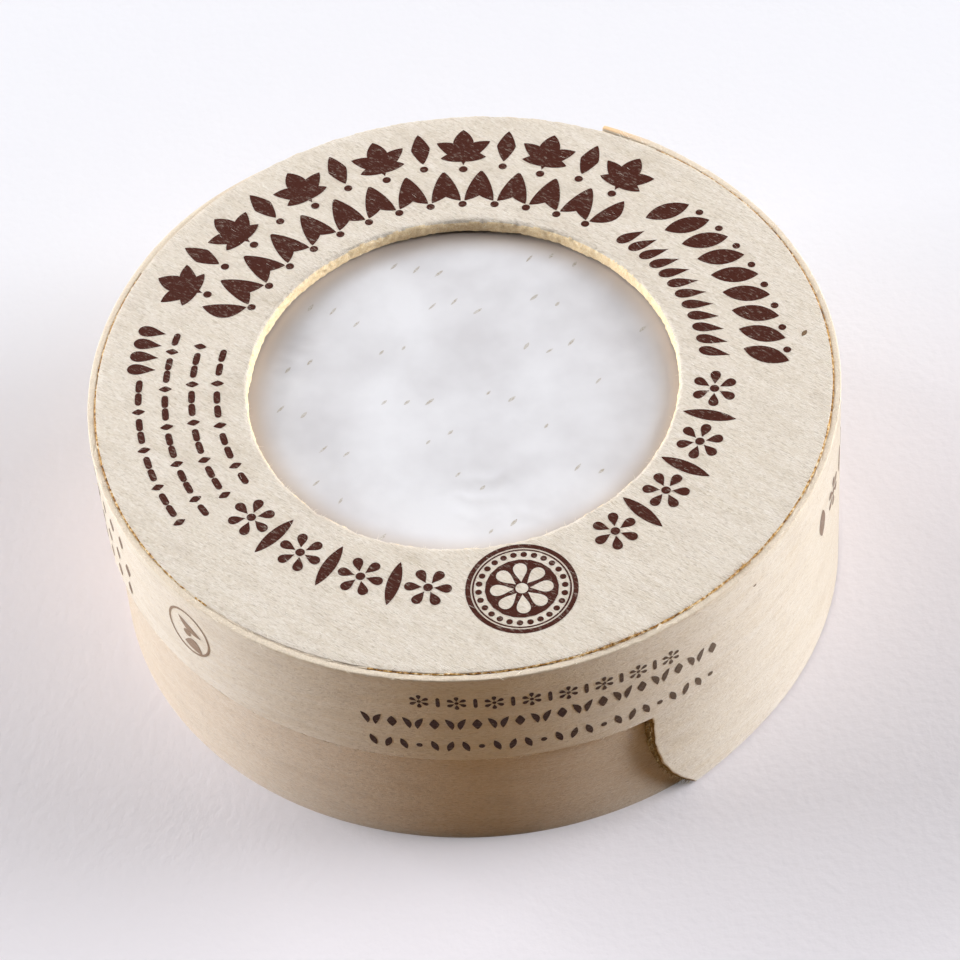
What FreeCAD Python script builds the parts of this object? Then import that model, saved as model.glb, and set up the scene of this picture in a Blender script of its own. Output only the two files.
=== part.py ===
import FreeCAD, Part
import os
import Sketcher

# A shut round cheese box of thin poplar, with a round window cut in its lid and the
# paper-wrapped wheel inside. Sizes are millimetres. Z is up, the origin is the middle
# of the underside, and the tongue of the lid's strip is at the front right (-Y, +X).
#
# The base is a disc inside a standing band. The lid is a pierced disc inside one bent
# strip: for most of the way round the strip is a narrow skirt, and along the right side
# it is as deep as the box. That deep stretch begins with a free, rounded tongue that
# springs off the base, and ends behind in a lap that rides over the strip's inner run.

DIMENSIONS = [
    # Whole box
    ("box_height", 40.0),        # table to the lid disc's face
    ("veneer", 1.1),             # thickness of the bent strips
    # Lid disc
    ("lid_radius", 55.0),
    ("lid_thickness", 2.2),
    ("window_radius", 32.3),
    ("window_round", 0.5),       # worn upper edge of the window
    ("disc_fit", 0.15),          # gap between a disc and the strip round it
    # Lid strip
    ("rim_drop", 0.2),           # strip's upper edge, below the disc's face
    ("skirt_depth", 19.4),       # narrow stretch beside the tongue, down from the rim
    ("foot_rise", 1.1),          # how far its foot climbs from there to the left side
    ("deep_start", -42.0),       # degrees: the deep stretch lies on the base from here
    ("deep_turn", 77.0),         # degrees: to where the lap begins to rise
    ("foot_gap", 0.4),           # deep stretch's lower edge, above the table
    ("lap_turn", 22.4),          # degrees of the lap's own arc
    ("lap_rise", 10.5),          # how much wider the lap's arc is than the strip's
    ("tongue_turn", 24.0),       # degrees of free tongue ahead of deep_start
    ("tongue_radius", 80.0),     # bend of the tongue's lower edge, flatter than the box
    ("corner_radius", 24.0),     # rounding of the tongue's lower corner
    ("corner_height", 17.0),     # where that rounding begins, above the table
    ("back_drop", 1.6),          # how far the inner run's upper edge sinks at the back
    ("back_angle", 102.0),       # degrees: the direction that the sunken edge faces
    ("back_reach", 45.0),        # sunken edge: to this side of back_angle, under the lap
    ("back_level", 5.0),         # it stays level to here on the other side
    ("back_end", 36.7),          # and is back at the rim here
    # Base
    ("slip_fit", 0.25),          # lid strip slides over the base band with this gap
    ("base_thickness", 2.0),
    # Wrapped wheel
    ("wheel_gap", 1.8),          # room between the wheel and the base band
    ("wheel_headroom", 0.6),     # room between the wheel and the lid disc
    ("wheel_bevel", 4.0),        # bevel in place of the wheel's soft edges
    ("wheel_dish", 0.35),        # how far the top dips in the middle
]

LID_INNER = "(dims.lid_radius + dims.disc_fit)"
LID_OUTER = "(dims.lid_radius + dims.disc_fit + dims.veneer)"
LID_UNDERSIDE = "(dims.box_height - dims.lid_thickness)"
RIM = "(dims.box_height - dims.rim_drop)"
SKIRT_FOOT = "(dims.box_height - dims.rim_drop - dims.skirt_depth)"
BASE_OUTER = "(dims.lid_radius + dims.disc_fit - dims.slip_fit)"
BASE_INNER = "(dims.lid_radius + dims.disc_fit - dims.slip_fit - dims.veneer)"
WHEEL_RADIUS = f"({BASE_INNER} - dims.wheel_gap)"
WHEEL_TOP = f"({LID_UNDERSIDE} - dims.wheel_headroom)"

ORIGIN_POINT = (-1, 1)
X_AXIS = -1
Y_AXIS = -2

doc = FreeCAD.newDocument("boxed_wheel")
sheet = doc.addObject("Spreadsheet::Sheet", "dims")
for row, (alias, number) in enumerate(DIMENSIONS, start=1):
    sheet.set(f"A{row}", alias)
    sheet.set(f"B{row}", str(number))
    sheet.setAlias(f"B{row}", alias)
doc.recompute()


def size(expression):
    """The present value of an expression on the sheet."""
    return float(sheet.evalExpression(expression))


def new_body(label):
    body = doc.addObject("PartDesign::Body", label)
    body.Label = label
    return body


def origin_plane(body, role):
    return next(item for item in body.Origin.OriginFeatures if item.Role == role)


def plan_sketch(body, name, height):
    """A level sketch at a height above the table."""
    sketch = body.newObject("Sketcher::SketchObject", name)
    sketch.AttachmentSupport = [(origin_plane(body, "XY_Plane"), "")]
    sketch.MapMode = "FlatFace"
    sketch.setExpression(".AttachmentOffset.Base.z", f"({height}) * 1mm")
    return sketch


def upright_sketch(body, name, facing):
    """A sketch standing on the origin: its X runs level, and it faces an angle in degrees."""
    sketch = body.newObject("Sketcher::SketchObject", name)
    sketch.AttachmentSupport = [(origin_plane(body, "XZ_Plane"), "")]
    sketch.MapMode = "FlatFace"
    turned = FreeCAD.Rotation(FreeCAD.Vector(0, 1, 0), 1)
    sketch.AttachmentOffset = FreeCAD.Placement(FreeCAD.Vector(), turned)
    sketch.setExpression(".AttachmentOffset.Rotation.Angle", f"({facing} + 90) * 1deg")
    return sketch


def bind(sketch, kind, *place, to):
    """Adds a dimension to a sketch and ties it to an expression."""
    index = sketch.addConstraint(Sketcher.Constraint(kind, *place, size(to)))
    sketch.setExpression(f"Constraints[{index}]", to)


def add_circle(sketch, radius):
    disc = Part.Circle(FreeCAD.Vector(), FreeCAD.Vector(0, 0, 1), size(radius))
    circle = sketch.addGeometry(disc)
    sketch.addConstraint(Sketcher.Constraint("Coincident", circle, 3, *ORIGIN_POINT))
    bind(sketch, "Radius", circle, to=radius)


def add_outline(sketch, corners):
    """A closed outline of straight edges; corners are pairs of expressions."""
    points = [FreeCAD.Vector(size(across), size(up)) for across, up in corners]
    last = len(points) - 1
    for number, point in enumerate(points):
        following = points[0 if number == last else number + 1]
        sketch.addGeometry(Part.LineSegment(point, following))
    for number in range(len(points)):
        following = 0 if number == last else number + 1
        sketch.addConstraint(Sketcher.Constraint("Coincident", number, 2, following, 1))
    for number, (across, up) in enumerate(corners):
        pin_point(sketch, number, 1, across, up)


def pin_point(sketch, edge, end, across, up):
    """Fixes the end of an edge at a place in the sketch."""
    for kind, axis, place in (("DistanceX", Y_AXIS, across), ("DistanceY", X_AXIS, up)):
        if abs(size(place)) > 1e-9:
            bind(sketch, kind, *ORIGIN_POINT, edge, end, to=place)
        else:
            sketch.addConstraint(Sketcher.Constraint("PointOnObject", edge, end, axis))


def strip_sketch(body, name, height, start, turn, inner, outer, shift="0"):
    """Plan of a strip bent to an arc that begins at the angle start and runs by turn.

    The arc's centre lies shift behind the origin, as seen from the start of the arc, so
    a wider arc leaves the box's own circle without a kink.
    """
    sketch = plan_sketch(body, name, height)
    sketch.setExpression(".AttachmentOffset.Rotation.Angle", f"({start}) * 1deg")
    sketch.setExpression(".AttachmentOffset.Base.x", f"-({shift}) * cos(({start}) * 1deg) * 1mm")
    sketch.setExpression(".AttachmentOffset.Base.y", f"-({shift}) * sin(({start}) * 1deg) * 1mm")
    begin, end = sorted((0.0, FreeCAD.Units.Quantity(f"{size(turn)} deg").getValueAs("rad").Value))
    near, far = (1, 2) if size(turn) > 0 else (2, 1)
    arcs = []
    for radius in (inner, outer):
        circle = Part.Circle(FreeCAD.Vector(), FreeCAD.Vector(0, 0, 1), size(radius))
        arc = sketch.addGeometry(Part.ArcOfCircle(circle, begin, end))
        sketch.addConstraint(Sketcher.Constraint("Coincident", arc, 3, *ORIGIN_POINT))
        bind(sketch, "Radius", arc, to=radius)
        arcs.append(arc)
    for tip in (near, far):
        points = [sketch.getPoint(arc, tip) for arc in arcs]
        line = sketch.addGeometry(Part.LineSegment(*points))
        sketch.addConstraint(Sketcher.Constraint("Coincident", line, 1, arcs[0], tip))
        sketch.addConstraint(Sketcher.Constraint("Coincident", line, 2, arcs[1], tip))
        if tip == near:
            sketch.addConstraint(Sketcher.Constraint("Horizontal", line))
        else:
            sketch.addConstraint(Sketcher.Constraint("PointOnObject", *ORIGIN_POINT, line))
            bind(sketch, "Angle", line, to=f"({turn}) * 1deg")
    return sketch


def pad(body, sketch, name, length):
    feature = body.newObject("PartDesign::Pad", name)
    feature.Profile = sketch
    feature.setExpression("Length", length)
    sketch.Visibility = False
    doc.recompute()
    return feature


def pocket(body, sketch, name, length, both_ways=False):
    """Cuts outwards from the middle of the box, on the side that the sketch faces.

    With both_ways it also cuts as far on the other side.
    """
    before = body.Shape.Volume
    feature = body.newObject("PartDesign::Pocket", name)
    feature.Profile = sketch
    if both_ways:
        feature.setExpression("Length", f"2 * ({length})")
        feature.SideType = "Symmetric"
    else:
        feature.setExpression("Length", length)
        feature.Reversed = True
    sketch.Visibility = False
    doc.recompute()
    if not body.Shape.Volume < before - 1.0:
        raise RuntimeError(f"{name} removes nothing")
    return feature


def rim_edges(shape, radius, height):
    """Names of the circular edges of a radius that lie at a height."""
    names = []
    for number, edge in enumerate(shape.Edges, start=1):
        round_edge = isinstance(edge.Curve, Part.Circle)
        if round_edge and abs(edge.Curve.Radius - radius) < 1e-6:
            if abs(edge.Curve.Center.z - height) < 1e-6:
                names.append(f"Edge{number}")
    return names


def fillet(body, base, name, edges, radius):
    feature = body.newObject("PartDesign::Fillet", name)
    feature.Base = (base, edges)
    feature.setExpression("Radius", radius)
    doc.recompute()
    return feature


def chamfer(body, base, name, edges, width):
    feature = body.newObject("PartDesign::Chamfer", name)
    feature.Base = (base, edges)
    feature.setExpression("Size", width)
    doc.recompute()
    return feature


def make_base_disc():
    """Round bottom board, level with the foot of the band round it."""
    body = new_body("base_disc")
    sketch = plan_sketch(body, "board_outline", "0")
    add_circle(sketch, f"{BASE_INNER} - dims.disc_fit")
    pad(body, sketch, "board", "dims.base_thickness")
    return body


def make_base_band():
    """Standing band: the lid disc seats on its upper edge."""
    body = new_body("base_band")
    sketch = plan_sketch(body, "band_outline", "0")
    add_circle(sketch, BASE_INNER)
    add_circle(sketch, BASE_OUTER)
    pad(body, sketch, "band", LID_UNDERSIDE)
    return body


def make_lid_ring():
    """Lid disc with its round window, whose upper edge is worn soft."""
    body = new_body("lid_ring")
    sketch = plan_sketch(body, "lid_outline", LID_UNDERSIDE)
    add_circle(sketch, "dims.window_radius")
    add_circle(sketch, "dims.lid_radius")
    board = pad(body, sketch, "lid_board", "dims.lid_thickness")
    edges = rim_edges(board.Shape, size("dims.window_radius"), size("dims.box_height"))
    fillet(body, board, "window_edge", edges, "dims.window_round")
    return body


def make_lid_band():
    """The lid's strip: skirt, sunken inner run, deep stretch, lap and free tongue."""
    body = new_body("lid_band")

    skirt = plan_sketch(body, "skirt_outline", SKIRT_FOOT)
    add_circle(skirt, LID_INNER)
    add_circle(skirt, LID_OUTER)
    pad(body, skirt, "skirt", "dims.skirt_depth")

    # The skirt's foot is cut askew: level beside the tongue, then climbing to the left.
    tongue_tip = f"{LID_INNER} * cos((dims.deep_start - dims.tongue_turn) * 1deg)"
    askew = upright_sketch(body, "climbing_foot_outline", "-90")
    add_outline(askew, [
        (tongue_tip, SKIRT_FOOT),
        (f"-{LID_OUTER} - dims.veneer", f"{SKIRT_FOOT} + dims.foot_rise"),
        (f"-{LID_OUTER} - dims.veneer", f"{SKIRT_FOOT} - dims.veneer"),
        (tongue_tip, f"{SKIRT_FOOT} - dims.veneer"),
    ])
    pocket(body, askew, "climbing_foot", LID_OUTER, both_ways=True)

    # The inner run's upper edge sinks towards the end that goes under the lap.
    sunk = f"{RIM} - dims.back_drop"
    above = f"{RIM} + dims.back_drop"
    sunken = upright_sketch(body, "sunken_edge_outline", "dims.back_angle")
    add_outline(sunken, [
        ("-dims.back_reach", sunk),
        ("-dims.back_reach", above),
        ("dims.back_end", above),
        ("dims.back_end", RIM),
        ("dims.back_level", sunk),
    ])
    pocket(body, sunken, "sunken_edge", LID_OUTER)

    deep = strip_sketch(body, "deep_outline", "dims.foot_gap", "dims.deep_start",
                        "dims.deep_turn", LID_INNER, LID_OUTER)
    pad(body, deep, "deep_stretch", f"{SKIRT_FOOT} - dims.foot_gap")

    # The lap's arc is wider than the box, so its end stands one strip proud.
    lap = strip_sketch(body, "lap_outline", "dims.foot_gap", "dims.deep_start + dims.deep_turn",
                       "dims.lap_turn", f"{LID_INNER} + dims.lap_rise",
                       f"{LID_OUTER} + dims.lap_rise", shift="dims.lap_rise")
    pad(body, lap, "lap", f"{RIM} - dims.foot_gap")

    # The tongue follows the box at the skirt and is nearly flat at its lower edge. Both
    # outlines begin where the deep stretch does and are equally long.
    held = strip_sketch(body, "tongue_upper_outline", SKIRT_FOOT, "dims.deep_start",
                        "-dims.tongue_turn", LID_INNER, LID_OUTER)
    free = strip_sketch(body, "tongue_lower_outline", "dims.foot_gap", "dims.deep_start",
                        f"-dims.tongue_turn * {LID_INNER} / dims.tongue_radius",
                        "dims.tongue_radius", "dims.tongue_radius + dims.veneer",
                        shift=f"dims.tongue_radius - {LID_INNER}")
    tongue = body.newObject("PartDesign::AdditiveLoft", "tongue")
    tongue.Profile = held
    tongue.Sections = [free]
    tongue.Ruled = True
    held.Visibility = False
    free.Visibility = False
    doc.recompute()

    round_tongue(body)
    return body


def round_tongue(body):
    """Cuts the tongue's lower corner to an arc that meets its upright edge smoothly."""
    tip_angle = "(dims.deep_start - dims.tongue_turn)"
    cut = upright_sketch(body, "corner_outline", tip_angle)
    drop = "(dims.corner_height - dims.foot_gap)"
    radius = "dims.corner_radius"
    reach = f"({radius} - sqrt({radius} ^ 2 - {drop} ^ 2))"
    outside = f"-{LID_OUTER} / 4"
    centre = FreeCAD.Vector(size(radius), size("dims.corner_height"))
    circle = Part.Circle(centre, FreeCAD.Vector(0, 0, 1), size(radius))
    top = FreeCAD.Vector(0, size("dims.corner_height"))
    foot = FreeCAD.Vector(size(reach), size("dims.foot_gap"))
    corners = [
        (reach, "-dims.foot_gap"),
        (outside, "-dims.foot_gap"),
        (outside, "dims.corner_height"),
    ]
    points = [foot]
    points += [FreeCAD.Vector(size(across), size(up)) for across, up in corners]
    points.append(top)
    for point, following in zip(points, points[1:]):
        cut.addGeometry(Part.LineSegment(point, following))
    arc = cut.addGeometry(Part.ArcOfCircle(circle, circle.parameter(top), circle.parameter(foot)))
    for line in range(arc - 1):
        cut.addConstraint(Sketcher.Constraint("Coincident", line, 2, line + 1, 1))
    cut.addConstraint(Sketcher.Constraint("Coincident", arc - 1, 2, arc, 1))
    cut.addConstraint(Sketcher.Constraint("Coincident", arc, 2, 0, 1))
    for line, (across, up) in enumerate(corners):
        pin_point(cut, line, 2, across, up)
    pin_point(cut, arc, 1, "0", "dims.corner_height")
    pin_point(cut, arc, 2, reach, "dims.foot_gap")
    bind(cut, "Radius", arc, to=radius)
    pocket(body, cut, "corner", "dims.tongue_radius")


def make_wrapped_wheel():
    """The paper-wrapped wheel: bevelled edges and a top that dips a little."""
    body = new_body("wrapped_cheese")
    sketch = plan_sketch(body, "wheel_outline", "dims.base_thickness")
    add_circle(sketch, WHEEL_RADIUS)
    wheel = pad(body, sketch, "wheel", f"{WHEEL_TOP} - dims.base_thickness")

    edges = rim_edges(wheel.Shape, size(WHEEL_RADIUS), size(WHEEL_TOP))
    edges += rim_edges(wheel.Shape, size(WHEEL_RADIUS), size("dims.base_thickness"))
    bevelled = chamfer(body, wheel, "bevelled_edges", edges, "dims.wheel_bevel")

    # A shallow cone-like dip turned out of the top, as far as the bevel.
    dip = body.newObject("Sketcher::SketchObject", "dip_outline")
    dip.AttachmentSupport = [(origin_plane(body, "XZ_Plane"), "")]
    dip.MapMode = "FlatFace"
    add_outline(dip, [
        ("0", f"{WHEEL_TOP} - dims.wheel_dish"),
        (f"{WHEEL_RADIUS} - dims.wheel_bevel", WHEEL_TOP),
        ("0", WHEEL_TOP),
    ])
    groove = body.newObject("PartDesign::Groove", "dip")
    groove.Profile = dip
    groove.ReferenceAxis = (dip, ["V_Axis"])
    groove.Angle = 360
    dip.Visibility = False
    doc.recompute()
    if not body.Shape.Volume < bevelled.Shape.Volume - 1.0:
        raise RuntimeError("dip removes nothing")
    return body


def check(bodies):
    """Stops before anything is written if a feature failed or a body isn't one solid."""
    for item in doc.Objects:
        for flag in ("Invalid", "Error"):
            if flag in item.State:
                raise RuntimeError(f"{item.Label}: {item.State}")
    for body in bodies:
        shape = body.Shape
        if shape.isNull() or not shape.isValid() or len(shape.Solids) != 1:
            raise RuntimeError(f"{body.Label} is not one valid solid")
        box = shape.BoundBox
        print(f"{body.Label}: {shape.Volume:.1f} mm3, z {box.ZMin:.2f} to {box.ZMax:.2f}")


bodies = [
    make_base_disc(),
    make_base_band(),
    make_lid_ring(),
    make_lid_band(),
    make_wrapped_wheel(),
]
doc.recompute()
check(bodies)
os.makedirs("parts", exist_ok=True)
for body in bodies:
    body.Shape.exportStep(f"parts/{body.Label}.step")
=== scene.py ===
import math
import random

import bpy
from mathutils import Euler, Matrix, Vector, noise


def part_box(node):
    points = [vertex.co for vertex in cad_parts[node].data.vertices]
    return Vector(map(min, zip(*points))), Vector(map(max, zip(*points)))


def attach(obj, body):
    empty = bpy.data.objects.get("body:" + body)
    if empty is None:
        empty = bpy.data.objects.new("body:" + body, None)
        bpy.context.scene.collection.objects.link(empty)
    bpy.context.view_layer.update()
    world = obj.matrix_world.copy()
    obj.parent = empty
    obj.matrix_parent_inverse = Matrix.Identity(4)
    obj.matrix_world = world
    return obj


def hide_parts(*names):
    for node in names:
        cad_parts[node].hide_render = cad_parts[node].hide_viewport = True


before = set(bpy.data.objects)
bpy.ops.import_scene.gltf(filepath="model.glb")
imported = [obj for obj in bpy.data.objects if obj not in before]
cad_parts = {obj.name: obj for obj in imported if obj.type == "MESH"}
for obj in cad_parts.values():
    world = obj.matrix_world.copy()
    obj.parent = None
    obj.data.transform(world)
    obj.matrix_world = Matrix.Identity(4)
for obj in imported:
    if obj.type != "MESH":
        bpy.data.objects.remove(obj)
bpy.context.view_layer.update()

# A shut round cheese box of thin poplar with a round window in its lid, and the wheel in
# its waxed paper inside. Everything is in metres; MM turns millimetres into metres.

MM = 0.001
TINY = 1e-6                          # a micron: places this near count as the same

bpy.ops.object.select_all(action="DESELECT")


# ---------------------------------------------------------------- sizes, from the CAD frame
DISC_LOW, DISC_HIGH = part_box("lid_ring")
BASE_LOW, BASE_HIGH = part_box("base_band")
BOARD_LOW, BOARD_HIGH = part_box("base_disc")
STRIP_LOW, STRIP_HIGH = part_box("lid_band")
WHEEL_LOW, WHEEL_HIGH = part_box("wrapped_cheese")

DISC_RADIUS = DISC_HIGH.x            # 55 mm
DISC_TOP = DISC_HIGH.z               # 40 mm
DISC_FOOT = DISC_LOW.z               # 37.8 mm
RIM = STRIP_HIGH.z                   # 39.8 mm, the strip's upper edge
WINDOW = 32.3 * MM                   # radius of the round window
VENEER = 1.1 * MM                    # thickness of the bent strips
STRIP_INNER = 55.15 * MM             # inner face of the lid's strip
BASE_INNER = BASE_HIGH.x - VENEER    # 53.8 mm

# The lid's strip, from its inner end under the lap, anticlockwise to the lap's own end.
INNER_END = 49.0                     # degrees: the inner end, thinned under the lap
LAP_START = 395.0                    # degrees: from here the outer end rides over it
LAP_TURN = 24.9                      # degrees of the lap's own, wider arc
LAP_RISE = 7.2 * MM
SKIRT_FOOT = 20.4 * MM               # lower edge of the narrow stretch, by the tongue
FOOT_RISE = 1.1 * MM                 # it climbs this much towards the left
DEEP_FOOT = STRIP_LOW.z              # lower edge of the deep stretch
TONGUE_TIP = 294.0                   # degrees
TONGUE_ROOT = 318.0
TONGUE_BEND = 80 * MM                # bend of the tongue's lower edge


# ---------------------------------------------------------------- small helpers
def only(piece):
    """Makes one object the only selected one, and the active one."""
    bpy.ops.object.select_all(action="DESELECT")
    piece.select_set(True)
    bpy.context.view_layer.objects.active = piece


def mode(name):
    bpy.ops.object.mode_set(mode=name)


def select_all():
    bpy.ops.mesh.select_all(action="SELECT")


def call(piece, name):
    piece.name = name
    piece.data.name = name
    return piece


def pick(piece, kind, test):
    """In edit mode, selects just the vertices, edges or faces that pass a test."""
    bpy.ops.mesh.select_mode(type=kind)
    bpy.ops.mesh.select_all(action="DESELECT")
    mode("OBJECT")
    parts = {"VERT": piece.data.vertices, "EDGE": piece.data.edges, "FACE": piece.data.polygons}
    for part in parts[kind]:
        part.select = test(part)
    mode("EDIT")


def edge_ends(piece, edge):
    return [piece.data.vertices[index].co for index in edge.vertices]


def finish_with(piece, kind, **settings):
    """Adds a modifier and applies it."""
    only(piece)
    modifier = piece.modifiers.new(kind.lower(), kind)
    for name, value in settings.items():
        setattr(modifier, name, value)
    bpy.ops.object.modifier_apply(modifier=modifier.name)


def wear(piece, *looks):
    """Adds materials to a piece in this order; its faces keep the numbers that pick them."""
    for look in looks:
        piece.data.materials.append(look)


def smooth(piece, degrees=40):
    only(piece)
    bpy.ops.object.shade_smooth_by_angle(angle=math.radians(degrees))


def ease(value, low, high):
    """0 below low, 1 above high, and a smooth step between."""
    share = min(1.0, max(0.0, (value - low) / (high - low)))
    return share * share * (3 - 2 * share)


def polar(radius, degrees, height=0.0):
    turn = math.radians(degrees)
    return Vector((radius * math.cos(turn), radius * math.sin(turn), height))


def roughen(piece, depth, pitch, share=lambda place: 1.0, seed=0.0):
    """Moves vertices along their normals by smooth noise; depth and pitch in millimetres."""
    normals = [vertex.normal.copy() for vertex in piece.data.vertices]
    offset = Vector((seed, seed * 0.7, -seed))
    for vertex, normal in zip(piece.data.vertices, normals):
        amount = share(vertex.co)
        if amount:
            wave = noise.noise(vertex.co / (pitch * MM) + offset)
            vertex.co += normal * (depth * MM * amount * wave)


# ---------------------------------------------------------------- materials
def colour(code):
    """An sRGB hex colour as linear RGBA."""
    parts = [int(code[index:index + 2], 16) / 255 for index in (0, 2, 4)]
    return [p / 12.92 if p <= 0.04045 else ((p + 0.055) / 1.055) ** 2.4 for p in parts] + [1.0]


def add(tree, kind, links=None, stops=None, **settings):
    """Adds a shader node with its settings, input values and links."""
    node = tree.nodes.new("ShaderNode" + kind)
    for name, value in settings.items():
        setattr(node, name, value)
    for name, value in (links or {}).items():
        socket = node.inputs[name]
        if isinstance(value, bpy.types.NodeSocket):
            tree.links.new(value, socket)
        else:
            socket.default_value = value
    if stops:
        elements = node.color_ramp.elements
        while len(elements) < len(stops):
            elements.new(0.5)
        for element, (position, value) in zip(elements, stops):
            element.position = position
            element.color = colour(value) if isinstance(value, str) else [value] * 3 + [1.0]
    return node


def new_material(name):
    material = bpy.data.materials.new(name)
    material.use_nodes = True
    tree = material.node_tree
    tree.nodes.clear()
    return material, tree


def close(tree, shader):
    add(tree, "OutputMaterial", {"Surface": shader.outputs[0]})


def poplar(name, pale, tan, stain, along_uv, turn=0.0, rough=0.62, sheen=0.0, fibre=0.28,
           pore=0.5, relief=0.8, print_ink=None):
    """Peeled poplar veneer: cream wood with short raised fibres, dark pores and faint stains.

    The grain runs along the piece's own UV on a bent strip, and elsewhere along X turned
    by turn degrees. With print_ink the same wood carries mottled stamping ink.
    """
    material, tree = new_material(name)
    places = add(tree, "TexCoord")
    source = places.outputs["UV" if along_uv else "Object"]
    angle = (0.0, 0.0, math.radians(turn))
    grain = add(tree, "Mapping", {"Vector": source, "Rotation": angle})

    def stretched(along, across, detail=2.0, roughness=0.5, shift=0.0, wander=0.0):
        """Noise whose features are along by across millimetres."""
        size = (1000 / along, 1000 / across, 1000 / across)
        spot = add(tree, "Mapping", {"Vector": grain.outputs[0], "Scale": size,
                                     "Location": (shift, shift, shift)})
        return add(tree, "TexNoise", {
            "Vector": spot.outputs[0], "Scale": 1.0, "Detail": detail, "Roughness": roughness,
            "Distortion": wander}).outputs["Fac"]

    # Growth streaks some 9 mm long and over a millimetre wide, barely darker.
    streaks = add(tree, "ValToRGB", {"Fac": stretched(9.0, 1.3, 4.0, 0.7, 0.0, 0.8)},
                  stops=[(0.28, tan), (0.7, pale)])
    # Raised fibres under a millimetre long and a fifth wide, painted near white as a highlight.
    fibres = add(tree, "ValToRGB", {"Fac": stretched(0.8, 0.22, 2.0, 0.65, 3.0, 1.0)},
                 stops=[(0.42, 0.0), (0.7, 1.0)])
    # Open pores: dark dashes nearly a millimetre long, as fine as shows.
    pores = add(tree, "ValToRGB", {"Fac": stretched(0.9, 0.17, 1.5, 0.5, 9.0, 0.4)},
                stops=[(0.3, 1.0), (0.46, 0.0)])
    # Faint olive-brown stains, some as small as a fingernail.
    stains = add(tree, "ValToRGB", {"Fac": stretched(9.0, 3.5, 4.0, 0.65, 21.0)},
                 stops=[(0.5, 0.0), (0.76, 1.0)])

    shares = []
    for pattern, strength in ((fibres, fibre), (pores, pore), (stains, 0.26)):
        shares.append(add(tree, "Math", {0: pattern.outputs["Color"], 1: strength},
                          operation="MULTIPLY"))
    shown = streaks.outputs["Color"]
    # Fibres mix towards near white (painted highlight); pores and stains towards the stain colour.
    for share, tone in zip(shares, ("FFFCF6", stain, stain)):
        shown = add(tree, "Mix", {0: share.outputs[0], 6: shown, 7: colour(tone)},
                    data_type="RGBA").outputs[2]

    if print_ink:
        # The ink skips the hollows of the grain and pools on its ridges.
        skipped = add(tree, "ValToRGB", {"Fac": stretched(0.9, 0.3, 3.0, 0.7, 5.0, 0.5)},
                      stops=[(0.26, 0.68), (0.45, 1.0)])
        cover = print_ink[1]
        if len(print_ink) > 2:
            # Rubbed paler towards the right, between two places along the strip.
            flat = add(tree, "SeparateXYZ", {0: source})
            cover = add(tree, "MapRange", {
                "Value": flat.outputs["X"], "To Min": print_ink[1], "To Max": 0.78,
                "From Min": print_ink[2], "From Max": print_ink[3]}).outputs[0]
        covered = add(tree, "Math", {0: skipped.outputs["Color"], 1: cover},
                      operation="MULTIPLY")
        shown = add(tree, "Mix", {0: covered.outputs[0], 6: shown, 7: colour(print_ink[0])},
                    data_type="RGBA").outputs[2]

    # Dry ink is dull; bare wood has a slight gloss.
    gloss = 0.12 if print_ink else 0.5
    ridges = add(tree, "Math", {0: fibres.outputs["Color"], 1: pores.outputs["Color"]},
                 operation="SUBTRACT")
    bump = add(tree, "Bump", {"Height": ridges.outputs[0], "Strength": relief,
                              "Distance": 0.07 * MM})
    dull = add(tree, "MapRange", {"Value": streaks.outputs["Color"], "To Min": rough + 0.06,
                                  "To Max": rough - 0.06})
    close(tree, add(tree, "BsdfPrincipled", {
        "Base Color": shown, "Roughness": dull.outputs[0], "IOR": 1.5, "Specular IOR Level": gloss,
        "Sheen Weight": sheen, "Sheen Roughness": 0.5, "Normal": bump.outputs[0]}))
    return material


def sawn(name, dark, pale, scorched=None):
    """Poplar sawn or cut across: furry cut fibres a quarter of a millimetre apart.

    With scorched, the last 9 mm of the lid's strip, under its lap's end, take that colour.
    """
    material, tree = new_material(name)
    places = add(tree, "TexCoord")
    furry = add(tree, "TexNoise", {"Vector": places.outputs["Object"], "Scale": 4000.0,
                                   "Detail": 3.0})
    tint = add(tree, "ValToRGB", {"Fac": furry.outputs["Fac"]}, stops=[(0.3, dark), (0.66, pale)])
    shown = tint.outputs["Color"]
    if scorched:
        along = add(tree, "SeparateXYZ", {0: places.outputs["UV"]})
        near = add(tree, "MapRange", {
            "Value": along.outputs["X"], "To Max": 0.9, "From Min": STRIP_LENGTH - 9 * MM,
            "From Max": STRIP_LENGTH - 1 * MM})
        shown = add(tree, "Mix", {0: near.outputs[0], 6: shown, 7: colour(scorched)},
                    data_type="RGBA").outputs[2]
    bump = add(tree, "Bump", {"Height": furry.outputs["Fac"], "Strength": 0.5,
                              "Distance": 0.08 * MM})
    close(tree, add(tree, "BsdfPrincipled", {
        "Base Color": shown, "Roughness": 0.85, "Normal": bump.outputs[0]}))
    return material


def speckled(name, scale, detail, rough, stops):
    """A dull material whose colour is speckled by fine noise."""
    material, tree = new_material(name)
    places = add(tree, "TexCoord")
    grains = add(tree, "TexNoise", {"Vector": places.outputs["Object"], "Scale": scale,
                                    "Detail": detail})
    tint = add(tree, "ValToRGB", {"Fac": grains.outputs["Fac"]}, stops=stops)
    close(tree, add(tree, "BsdfPrincipled", {
        "Base Color": tint.outputs["Color"], "Roughness": rough}))
    return material


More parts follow.
